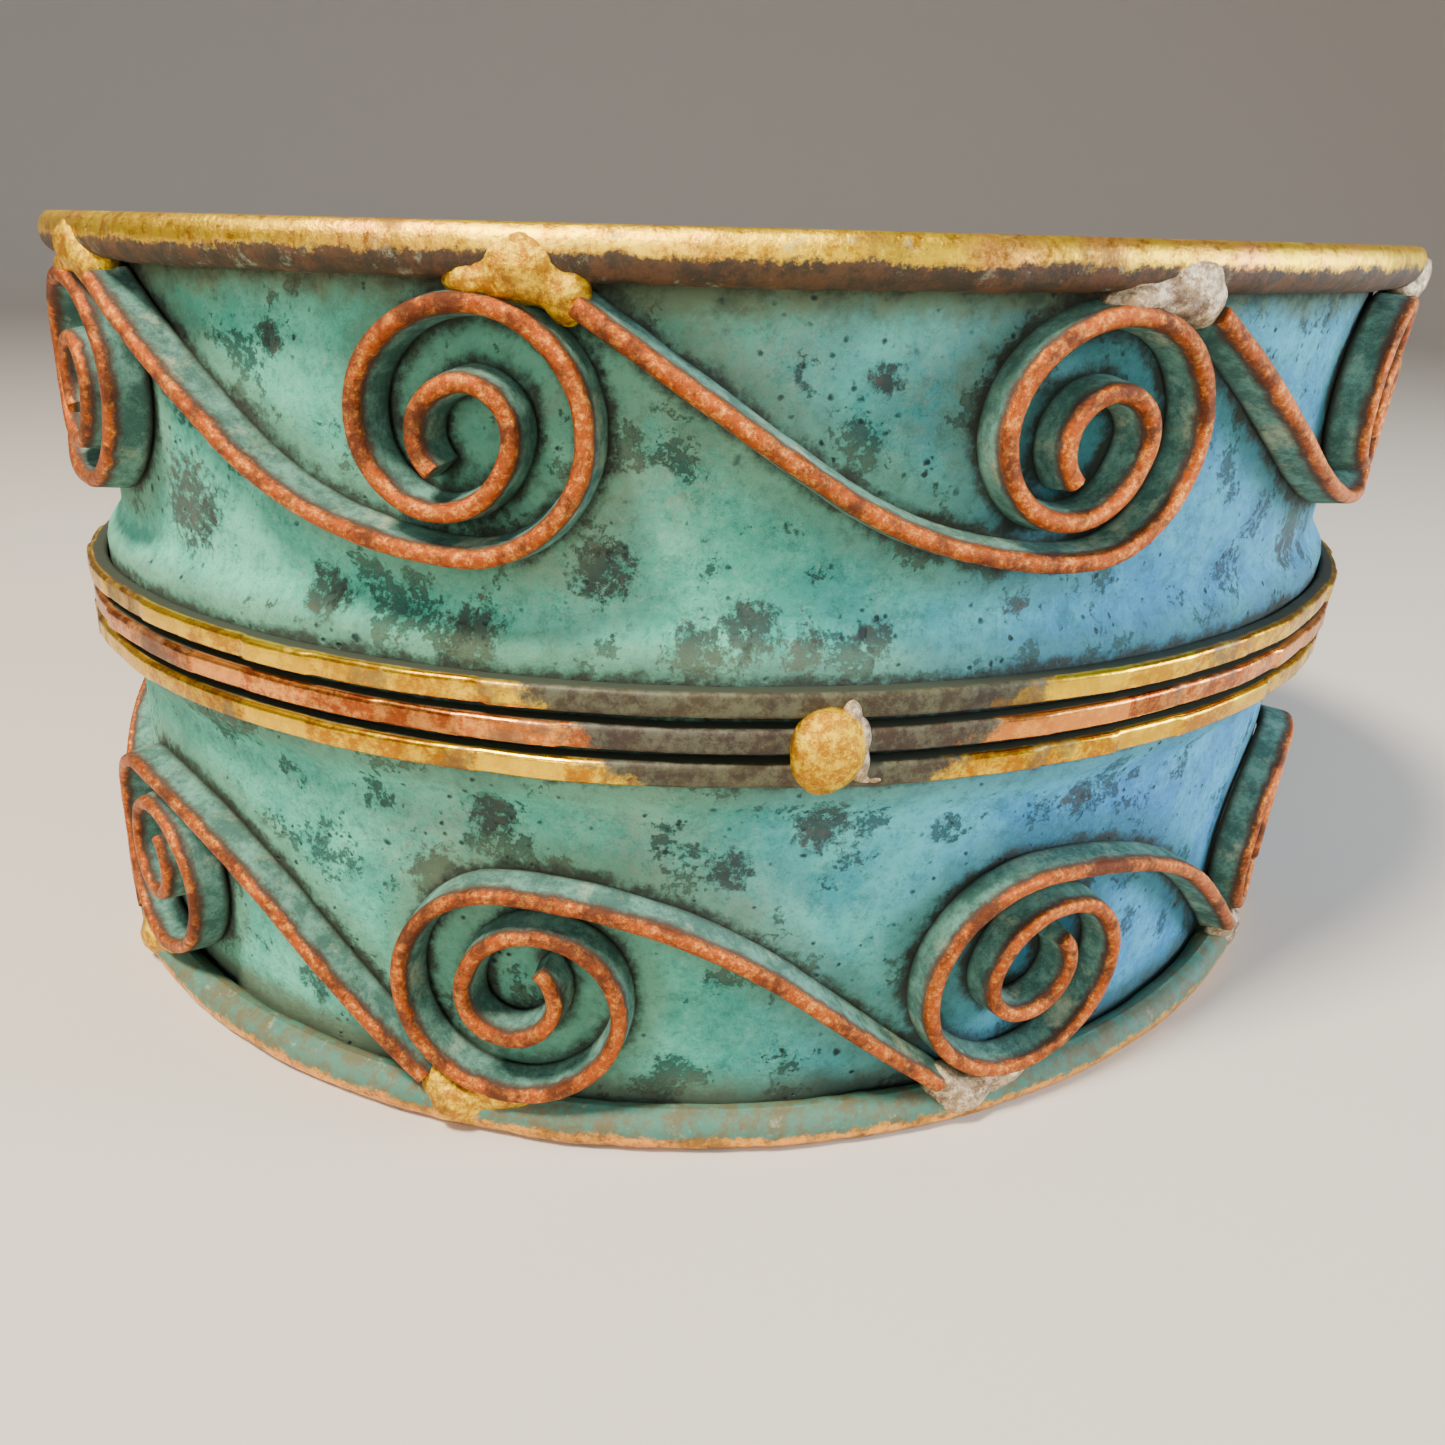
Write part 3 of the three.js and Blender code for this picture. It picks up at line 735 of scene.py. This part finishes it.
def rubbed_wire(name, metal, bright, brown, seed, bare_from=0.86, patina=1.0):
    """Wire whose crest is rubbed bare while its sides keep their patina."""
    f = Finish(name, seed)
    crest = f.attribute("crest")
    streak = f.noise(f.flat, 0.7 * MM, seed + 1, *GRITTY)
    bare = f.total((crest, 1.0), (streak, 0.5))
    bare = f.between(bare, bare_from + 0.2, bare_from + 0.3)
    dull = f.cloud(2.2 * MM, 0.46, 0.6, 2, *PATCHY)
    colour = f.mix(f.cloud(0.3 * MM, 0.47, 0.63, 3, *POWDERY), metal, bright)
    colour = f.cover(colour, dull, 0.85, brown)
    colour = f.cover(colour, f.cloud(0.2 * MM, 0.53, 0.65, 9, 8.0, 0.85), 0.8, brown)
    side = f.mix(f.cloud(1.4 * MM, 0.42, 0.62, 4, *GRITTY), SIDE_DARK, SIDE_LIGHT)
    side = f.mix(f.cloud(3.0 * MM, 0.52, 0.66, 5, *PATCHY), side, PALE_OLIVE)
    side = f.cover(side, f.cloud(0.8 * MM, 0.56, 0.68, 6, *UNEVEN), 0.6, OLIVE)
    # Painted shade at the wire's foot, where it meets the band
    side = f.mix(f.between(crest, 0.3, 0.05), side, CREVICE_SHADE)
    lip = f.between(f.total((crest, 1.0), (streak, 0.5)), bare_from, bare_from + 0.2)
    side = f.cover(side, lip, 0.9, brown)
    colour = f.mix(bare, f.mix(patina, brown, side), colour)
    metallic = f.between(bare, 0.0, 1.0, 0.1, 0.95)
    metallic = f.math("MULTIPLY", metallic, f.between(dull, 0.0, 1.0, 1.0, 0.75))
    scratch = f.noise(f.flat, 0.22 * MM, seed + 7, *BRUSHED)
    roughness = f.total((bare, -0.36), (dull, 0.16), (scratch, 0.2))
    roughness = f.math("ADD", roughness, 0.68)
    height = f.total((scratch, 0.5), (streak, 0.8), (f.noise(f.flat, 0.9 * MM, seed + 8, 4.0), 0.6))
    return f.coat(colour, metallic, roughness, height, 0.12 * MM)


def heated_rim(name, seed, gold_share, under):
    """Copper rim wire flashed with brass solder on its outer half; its inner half and back take the under
    colours, soot with painted shade on the top rim and patina on the bottom rim.
    """
    f = Finish(name, seed)
    crest = f.attribute("crest")
    gold = f.math("MULTIPLY", f.cloud(6 * MM, 0.34, 0.56, 1, 6.0, 0.65), gold_share)
    colour = f.mix(gold, RIM_COPPER, BRASS)
    worn = f.mix(gold, COPPER_BRIGHT, BRASS_BRIGHT)
    colour = f.mix(f.cloud(0.5 * MM, 0.36, 0.54, 2, *GRITTY), colour, worn)
    soot = f.math("MULTIPLY", f.cloud(3 * MM, 0.5, 0.64, 3, 8.0, 0.7), 0.7)
    colour = f.mix(soot, colour, COPPER_BROWN)
    # How far the surface is towards the band's own middle
    inward = f.math("SUBTRACT", HEIGHT / 2, f.math("ABSOLUTE", f.math("SUBTRACT", f.up, HEIGHT / 2)))
    inward = f.total((inward, 1 / MM), (f.noise(f.flat, 1.1 * MM, seed + 4, *GRITTY), 1.8))
    # Inner half and back of the wire: soot with painted shade on the top rim, patina on the bottom rim
    inner_grime_and_shade = f.math("MAXIMUM", f.between(inward, 1.6, 1.85), f.between(crest, 0.4, 0.15))
    colour = f.cover(colour, inner_grime_and_shade, 0.98, f.mix(f.cloud(0.9 * MM, 0.42, 0.58, 5, *GRITTY), *under))
    green = f.math("MULTIPLY", f.cloud(1.1 * MM, 0.56, 0.66, 6, *GRITTY), 0.5)
    colour = f.mix(green, colour, PALE_OLIVE)
    covered = f.math("MAXIMUM", f.math("MULTIPLY", soot, 0.5), f.math("MAXIMUM", inner_grime_and_shade, green))
    metallic = f.between(covered, 0.0, 1.0, 0.97, 0.0)
    grain = f.noise(f.flat, 0.3 * MM, seed + 7, *UNEVEN)
    roughness = f.math("ADD", f.total((covered, 0.34), (grain, 0.22)), 0.26)
    height = f.total((grain, 0.6), (f.noise(f.flat, 1.2 * MM, seed + 8, 4.0), 0.9))
    return f.coat(colour, metallic, roughness, height, 0.09 * MM)


def planished_wire(name, metal, bright, brown, seed):
    """Flat centre wire: hammered bright, dark where heat from the bead's solder reached it."""
    f = Finish(name, seed)
    crest = f.attribute("crest")
    colour = f.mix(f.cloud(0.9 * MM, 0.44, 0.6, 1, *GRITTY), metal, bright)
    brushed = f.vector("MULTIPLY", f.flat, (0.15, 1.0, 1.0))
    streak = f.noise(brushed, 0.2 * MM, seed + 2, *BRUSHED)
    colour = f.mix(f.between(streak, 0.52, 0.75, 0.0, 0.6), colour, brown)
    # Single hammer facets: some browner, as tarnish with painted shade, some brighter, as painted glints
    blow = f.attribute("blow")
    colour = f.mix(f.between(blow, 0.35, 0.1, 0.0, 0.45), colour, brown)
    colour = f.mix(f.between(blow, 0.6, 0.9, 0.0, 0.6), colour, bright)
    tarnish = f.total((f.noise(f.flat, 3.5 * MM, seed + 3, 8.0, 0.65), 1.0), (blow, -0.12))
    tarnish = f.between(tarnish, 0.48, 0.54)
    from_bead = f.math("ABSOLUTE", f.math("ADD", f.along, 1.2 * MM))
    below = f.math("SUBTRACT", RIDGE_MIDDLE, f.up)
    scorch = f.noise(f.flat, 2.6 * MM, seed + 4, *TORN)
    scorch = f.total((from_bead, 1 / MM), (below, 1.3 / MM), (scorch, 9.0))
    scorch = f.between(scorch, 12.6, 11.2)
    covered = f.math("MAXIMUM", scorch, f.math("MULTIPLY", tarnish, 0.6))
    grime = f.mix(f.cloud(0.7 * MM, 0.42, 0.6, 5, *GRITTY), SOOT, GRIME)
    colour = f.cover(colour, covered, 0.97, grime)
    # Painted shade on the wires' sides and in the gaps between them
    root = f.between(f.total((crest, 1.0), (streak, 0.3)), 1.0, 0.78)
    colour = f.mix(root, colour, CREVICE_SHADE)
    covered = f.math("MAXIMUM", covered, root)
    metallic = f.between(covered, 0.0, 1.0, 0.97, 0.1)
    roughness = f.math("ADD", f.total((covered, 0.3), (streak, 0.2)), 0.18)
    height = f.total((streak, 0.25), (f.noise(f.flat, 0.7 * MM, seed + 6, 4.0), 0.7))
    return f.coat(colour, metallic, roughness, height, 0.05 * MM)


def run_solder_finish(name, metal, bright, brown, seed):
    """Solder where it ran: grainy bright metal with dark flux in patches, and painted shade low down, where
    it meets the band.
    """
    f = Finish(name, seed)
    colour = f.mix(f.cloud(0.5 * MM, 0.44, 0.58, 1, *GRITTY), metal, bright)
    flux = f.cloud(1.5 * MM, 0.5, 0.62, 2, *GRITTY)
    colour = f.cover(colour, flux, 0.7, brown)
    # Painted shade low down, where the solder meets the band
    low = f.between(f.out, 1.7 * MM, 0.9 * MM)
    colour = f.cover(colour, low, 0.8, CREVICE_SHADE)
    covered = f.math("MAXIMUM", f.math("MULTIPLY", flux, 0.6), low)
    metallic = f.between(covered, 0.0, 1.0, 0.9, 0.3)
    grain = f.noise(f.flat, 0.25 * MM, seed + 3, *UNEVEN)
    roughness = f.math("ADD", f.total((covered, 0.25), (grain, 0.2)), 0.3)
    height = f.total((grain, 0.8), (f.noise(f.flat, 0.8 * MM, seed + 4, 4.0), 0.8))
    return f.coat(colour, metallic, roughness, height, 0.14 * MM)


PATINA = band_patina()
SCROLL_COPPER = rubbed_wire("rubbed_scroll_copper", COPPER, COPPER_BRIGHT, COPPER_BROWN, 31.0)
END_COPPER = rubbed_wire("rubbed_end_copper", COPPER, COPPER_BRIGHT, COPPER_BROWN, 34.0, 0.7, 0.5)
TOP_RIM = heated_rim("heated_top_rim", 21.0, 1.0, (RIM_SOOT_AND_SHADE, RIM_BROWN))
BOTTOM_RIM = heated_rim("heated_bottom_rim", 24.0, 0.3, (RIM_GREEN, RIM_OLIVE))
CENTRE_BRASS = planished_wire("planished_brass", BRASS, BRASS_BRIGHT, BRASS_BROWN, 41.0)
CENTRE_COPPER = planished_wire("planished_copper", COPPER, COPPER_BRIGHT, COPPER_BROWN, 44.0)
BRASS_SOLDER = run_solder_finish("brass_solder", BRASS, BRASS_BRIGHT, BRASS_BROWN, 51.0)
TIN_SOLDER = run_solder_finish("tin_solder", TIN_GREY, TIN, COPPER_BROWN, 54.0)
BEAD_BRASS = run_solder_finish("nugget_brass", BRASS, BRASS_BRIGHT, BRASS, 57.0)


# ---------------------------------------------------------------- wires

WIRE_TREE = wire_tree()
BAND_TREE = band_tree()
SOLDER_TREE = solder_tree()
NUGGET_TREE = nugget_tree()


def straight(name, face, height):
    """Path of a wire that runs the whole way between the end strips."""
    half = half_length(face)
    return flat_path(name, [(-half, height, 0), (half, height, 0)])


class ScrollRow:
    """One of the two rows of scrolls; the lower is like the upper turned half a turn."""

    def __init__(self, name, towards, rim, wall_left, shift):
        rim_edge = rim - towards * (WIRE / 2 + JOIN)
        foot = RIDGE_MIDDLE + towards * RIDGE_HALF_FOOT
        self.name = name
        self.towards = towards
        self.rim = rim
        self.line = rim_edge - towards * SCROLL_WIDTH / 2
        self.shift = shift
        self.loop = (abs(rim_edge - foot) - wall_left - SCROLL_WIDTH) / 2

    def joint_at(self, index):
        return self.towards * (PITCH * index - ROW_HALF) + self.shift

    def scroll_path(self, index):
        """A straight tail from the joint, a wide sweep, then a loop that coils in round its eye."""
        eye = PITCH - LOOP_BEFORE_JOINT
        across = eye - TAIL_AFTER_JOINT
        rise = SWEEP_RADIUS - 2 * self.loop
        reach = math.hypot(across, rise)
        slope = math.asin(SWEEP_RADIUS / reach) - math.atan2(rise, across)
        points = [(TAIL_AFTER_JOINT, 0)]
        sweep_steps = 16
        for step in range(sweep_steps):
            angle = slope * (1 - step / sweep_steps)
            depth = 2 * self.loop - SWEEP_RADIUS * (1 - math.cos(angle))
            points.append((eye - SWEEP_RADIUS * math.sin(angle), depth))
        loop_steps = 110
        for step in range(loop_steps + 1):
            angle = SCROLL_TURN * step / loop_steps - math.pi / 2
            coiled = (angle - COIL_IN_FROM) / (COIL_IN_TO - COIL_IN_FROM)
            share = (1 - math.cos(math.pi * min(max(coiled, 0), 1))) / 2
            radius = self.loop * (1 - (1 - EYE_TO_LOOP) * share)
            points.append((eye + radius * math.cos(angle), self.loop - radius * math.sin(angle)))
        start = self.joint_at(index)
        return [(start + self.towards * x, self.line - self.towards * depth, 0) for x, depth in points]


ROWS = (
    ScrollRow("top", 1, UPPER_RIM, WALL_UNDER_TOP_ROW, TOP_ROW_SHIFT),
    ScrollRow("bottom", -1, LOWER_RIM, WALL_OVER_BOTTOM_ROW, BOTTOM_ROW_SHIFT),
)
LOOP_PAST_JOINT = max(row.loop for row in ROWS) + SCROLL_WIDTH / 2 - LOOP_BEFORE_JOINT
ROW_END = half_length(RIM_LEVEL) - ROW_END_SPACE - max(abs(row.shift) for row in ROWS)
ROW_HALF = ROW_END - LOOP_PAST_JOINT
PITCH = 2 * ROW_HALF / SCROLLS_PER_ROW

wires = []


def lay_rims():
    for name, node, height, finish in (
        ("rim_top", "top_rim_wire", UPPER_RIM, TOP_RIM),
        ("rim_bottom", "bottom_rim_wire", LOWER_RIM, BOTTOM_RIM),
    ):
        start = straight(name + "_line", RIM_LEVEL, height)
        sizes = {"foot": WIRE, "crest": WIRE, "corner": WIRE / 2, "wander": 0.0, "dents": 0.12 * MM}
        sizes |= {"front": WIRE_FRONT - RIM_DENT_ROOM, "swell": 0.26 * MM, "seed": 1000 * height}
        rim = carry(name, start, WIRE_TREE, "rim_copper", [node], material=finish, **sizes)
        wires.append(rim)


def lay_ends():
    for side, name in ((-1, "left"), (1, "right")):
        along = side * (length_at(END_TURN, 0) - END_STRIP / 2)
        start = flat_path(f"end_{name}_line", [(along, 0, 0), (along, HEIGHT, 0)])
        sizes = {"foot": END_STRIP, "crest": END_STRIP, "back": -SHEET_FACE, "corner": 0.35 * MM}
        sizes |= {"front": WIRE_FRONT - END_DENT_ROOM, "wander": 0.0, "dents": 0.05 * MM, "face": 0.0}
        nodes = [f"{name}_end_strip"]
        carry(f"end_{name}", start, WIRE_TREE, "band_copper", nodes, material=END_COPPER, seed=3.0, **sizes)


def lay_centre_wires():
    for row, name, node, finish, slot in (
        (1, "brass_upper", "upper_brass_wire", CENTRE_BRASS, "brass_wire"),
        (0, "copper_middle", "middle_copper_wire", CENTRE_COPPER, "scroll_copper"),
        (-1, "brass_lower", "lower_brass_wire", CENTRE_BRASS, "brass_wire"),
    ):
        start = straight(name + "_line", CENTRE_WIRE_BACK, RIDGE_MIDDLE + row * CENTRE_WIRE_PITCH)
        sizes = {"foot": CENTRE_WIRE_WIDTH - 0.08 * MM, "crest": CENTRE_WIRE_WIDTH - 0.3 * MM}
        sizes |= {"back": CENTRE_WIRE_BACK, "front": CENTRE_WIRE_FRONT - CENTRE_DENT_ROOM, "corner": 0.2 * MM}
        sizes |= {"wander": 0.06 * MM, "dents": 0.05 * MM, "planish": 0.14 * MM, "seed": 5.0 + row}
        sizes |= {"face": CENTRE_WIRE_BACK, "material": finish}
        wires.append(carry(name, start, WIRE_TREE, slot, [node], **sizes))


def lay_scrolls():
    for row in ROWS:
        for index in range(SCROLLS_PER_ROW):
            name = f"scroll_{row.name}_{index + 1}"
            start = flat_path(name + "_line", row.scroll_path(index))
            sizes = {"foot": SCROLL_WIDTH, "crest": 0.56 * MM, "corner": 0.28 * MM, "step": 0.22 * MM}
            sizes |= {"wander": 0.12 * MM, "dents": 0.07 * MM, "swell": 0.1 * MM}
            sizes["seed"] = 10.0 + index + 10 * row.towards
            nodes = [f"{row.name}_scroll_{index + 1}"]
            scroll = carry(name, start, WIRE_TREE, "scroll_copper", nodes, material=SCROLL_COPPER, **sizes)
            wires.append(scroll)


# ---------------------------------------------------------------- solder, bead and band

SOLDER_BALLS = (
    # along the row, in from the rim's middle, out; then half width, half height, half depth, in mm
    ((0.0, 0.45, 1.5), (1.5, 1.2, 1.2)),
    ((-1.5, 1.0, 1.5), (1.7, 0.7, 0.9)),
    ((1.2, 1.2, 1.5), (1.0, 1.1, 0.9)),
    ((-0.3, 0.1, 1.3), (2.5, 0.85, 1.0)),
)

# Joints left of this place on the band have gold solder, and those right of it pale solder
BRASS_SOLDER_UP_TO = 5 * MM


def run_joints():
    """Solder on each joint: balls on the rim, the loop before it and the next tail, run together."""
    chance = random.Random(11)
    for row in ROWS:
        for index in range(SCROLLS_PER_ROW + 1):
            middle = row.joint_at(index)
            points = []
            balls = []
            for (along, into, out), half in SOLDER_BALLS:
                along += chance.uniform(-0.2, 0.2)
                into += chance.uniform(-0.1, 0.15)
                place = (middle + row.towards * along * MM, row.rim - row.towards * into * MM, out * MM)
                points.append(place)
                balls.append([size * chance.uniform(0.88, 1.08) * MM for size in half])
            name = f"joint_{row.name}_{index + 1}"
            start = flat_path(name + "_balls", points, balls)
            finish = BRASS_SOLDER if middle < BRASS_SOLDER_UP_TO else TIN_SOLDER
            nodes = [f"{row.name}_solder_joint_{index + 1}"]
            sizes = {"material": finish, "seed": float(index), "easing": 30, "lumpy": 0.5 * MM}
            carry(name, start, SOLDER_TREE, "solder", nodes, **sizes)


def set_bead():
    """The nugget at the front, with the solder that ran out at its right."""
    start = flat_path("bead_place", [(0.15 * MM, RIDGE_MIDDLE - 0.25 * MM, CENTRE_WIRE_FRONT + 0.05 * MM)])
    sizes = {"width": 3.5 * MM, "height": 4.3 * MM, "depth": 2.5 * MM, "dents": 0.4, "seed": 9.0}
    carry("bead", start, NUGGET_TREE, "brass_bead", ["centre_bead"], material=BEAD_BRASS, **sizes)
    spots = ((0.9, 0.95, 2.0), (1.3, 0.1, 2.05), (1.35, -0.85, 2.05), (1.9, -1.5, 1.95))
    halves = ((0.45, 0.8, 0.6), (0.45, 0.9, 0.7), (0.5, 0.8, 0.6), (0.8, 0.35, 0.5))
    points = [(x * MM, RIDGE_MIDDLE + y * MM, z * MM) for x, y, z in spots]
    balls = [tuple(size * MM for size in half) for half in halves]
    start = flat_path("bead_solder_balls", points, balls)
    sizes = {"seed": 2.0, "grain": 0.07 * MM, "easing": 8, "lumpy": 0.12 * MM, "material": TIN_SOLDER}
    carry("bead_solder", start, SOLDER_TREE, "solder", [], **sizes)


def raise_band():
    """The sheet, made last because its dirt and painted shade gather beside the wires."""
    collection = bpy.data.collections.new("wires_on_band")
    for wire in wires:
        collection.objects.link(wire)
    start = flat_path("band_start", [(0, 0, 0)])
    carry("band", start, BAND_TREE, "band_copper", ["band_sheet"], wires=collection, material=PATINA)
    bpy.data.collections.remove(collection)


# ---------------------------------------------------------------- studio

EYE = Vector((-8.25, -62.61, 35.2)) * MM
YAW = -0.1305
PITCH_DOWN = 0.407
ROLL = 0.0265
LENS = 28.44
FILM = 36


def aim(forward, roll=0.0):
    """Rotation that looks along forward, upright and then rolled."""
    turn = forward.to_track_quat("-Z", "Y").to_matrix()
    return (turn @ Matrix.Rotation(roll, 3, "Z")).to_4x4()


def set_camera():
    data = bpy.data.cameras.new("camera")
    data.lens = LENS
    data.sensor_width = FILM
    data.clip_start = 1 * MM
    camera = bpy.data.objects.new("camera", data)
    down = math.cos(PITCH_DOWN)
    forward = Vector((-math.sin(YAW) * down, math.cos(YAW) * down, -math.sin(PITCH_DOWN)))
    camera.matrix_world = Matrix.Translation(EYE) @ aim(forward, ROLL)
    bpy.context.scene.collection.objects.link(camera)
    bpy.context.scene.camera = camera


def soft_light(name, place, size, watts, tint):
    data = bpy.data.lights.new(name, "AREA")
    data.shape = "DISK"
    data.size = size
    data.energy = watts
    data.color = tint
    light = bpy.data.objects.new(name, data)
    place = Vector(place)
    light.matrix_world = Matrix.Translation(place) @ aim(Vector((0, 0, HEIGHT / 2)) - place)
    bpy.context.scene.collection.objects.link(light)


def studio_dish():
    """A pale round floor that curves up into its own backdrop."""
    flat, bend, top = 0.5, 0.3, 0.5
    profile = [(0.0, 0.0), (flat / 2, 0.0), (flat, 0.0)]
    steps = 12
    arc = [math.pi / 2 * step / steps for step in range(1, steps + 1)]
    profile += [(flat + bend * math.sin(angle), bend - bend * math.cos(angle)) for angle in arc]
    profile.append((flat + bend, top))
    sides = 64
    verts = [(0.0, 0.0, 0.0)]
    faces = []
    for ring, (radius, height) in enumerate(profile[1:]):
        for side in range(sides):
            turn = 2 * math.pi * side / sides
            verts.append((radius * math.cos(turn), radius * math.sin(turn), height))
            here = 1 + ring * sides + side
            beside = 1 + ring * sides + (side + 1) % sides
            if ring == 0:
                faces.append((0, here, beside))
            else:
                faces.append((here - sides, here, beside, beside - sides))
    mesh = bpy.data.meshes.new("studio_dish")
    mesh.from_pydata(verts, [], faces)
    mesh.shade_smooth()
    dish = bpy.data.objects.new("studio_dish", mesh)
    bpy.context.scene.collection.objects.link(dish)
    material = bpy.data.materials.new("pale_floor")
    material.use_nodes = True
    shader = material.node_tree.nodes["Principled BSDF"]
    shader.inputs["Base Color"].default_value = FLOOR
    shader.inputs["Roughness"].default_value = 0.9
    mesh.materials.append(material)


def light_studio():
    world = bpy.data.worlds.new("studio_air")
    world.use_nodes = True
    world.node_tree.nodes["Background"].inputs["Color"].default_value = (0.85, 0.9, 1.0, 1.0)
    world.node_tree.nodes["Background"].inputs["Strength"].default_value = 0.28
    bpy.context.scene.world = world
    soft_light("warm_key", (-0.11, -0.08, 0.26), 0.055, 2.0, (1.0, 0.9, 0.74))
    soft_light("cool_side", (0.27, -0.08, 0.09), 0.12, 1.3, (0.74, 0.86, 1.0))
    soft_light("front_fill", (-0.12, -0.3, 0.12), 0.16, 0.6, (1.0, 0.98, 0.95))


lay_rims()
lay_ends()
lay_centre_wires()
lay_scrolls()
run_joints()
set_bead()
raise_band()
set_camera()
light_studio()
studio_dish()
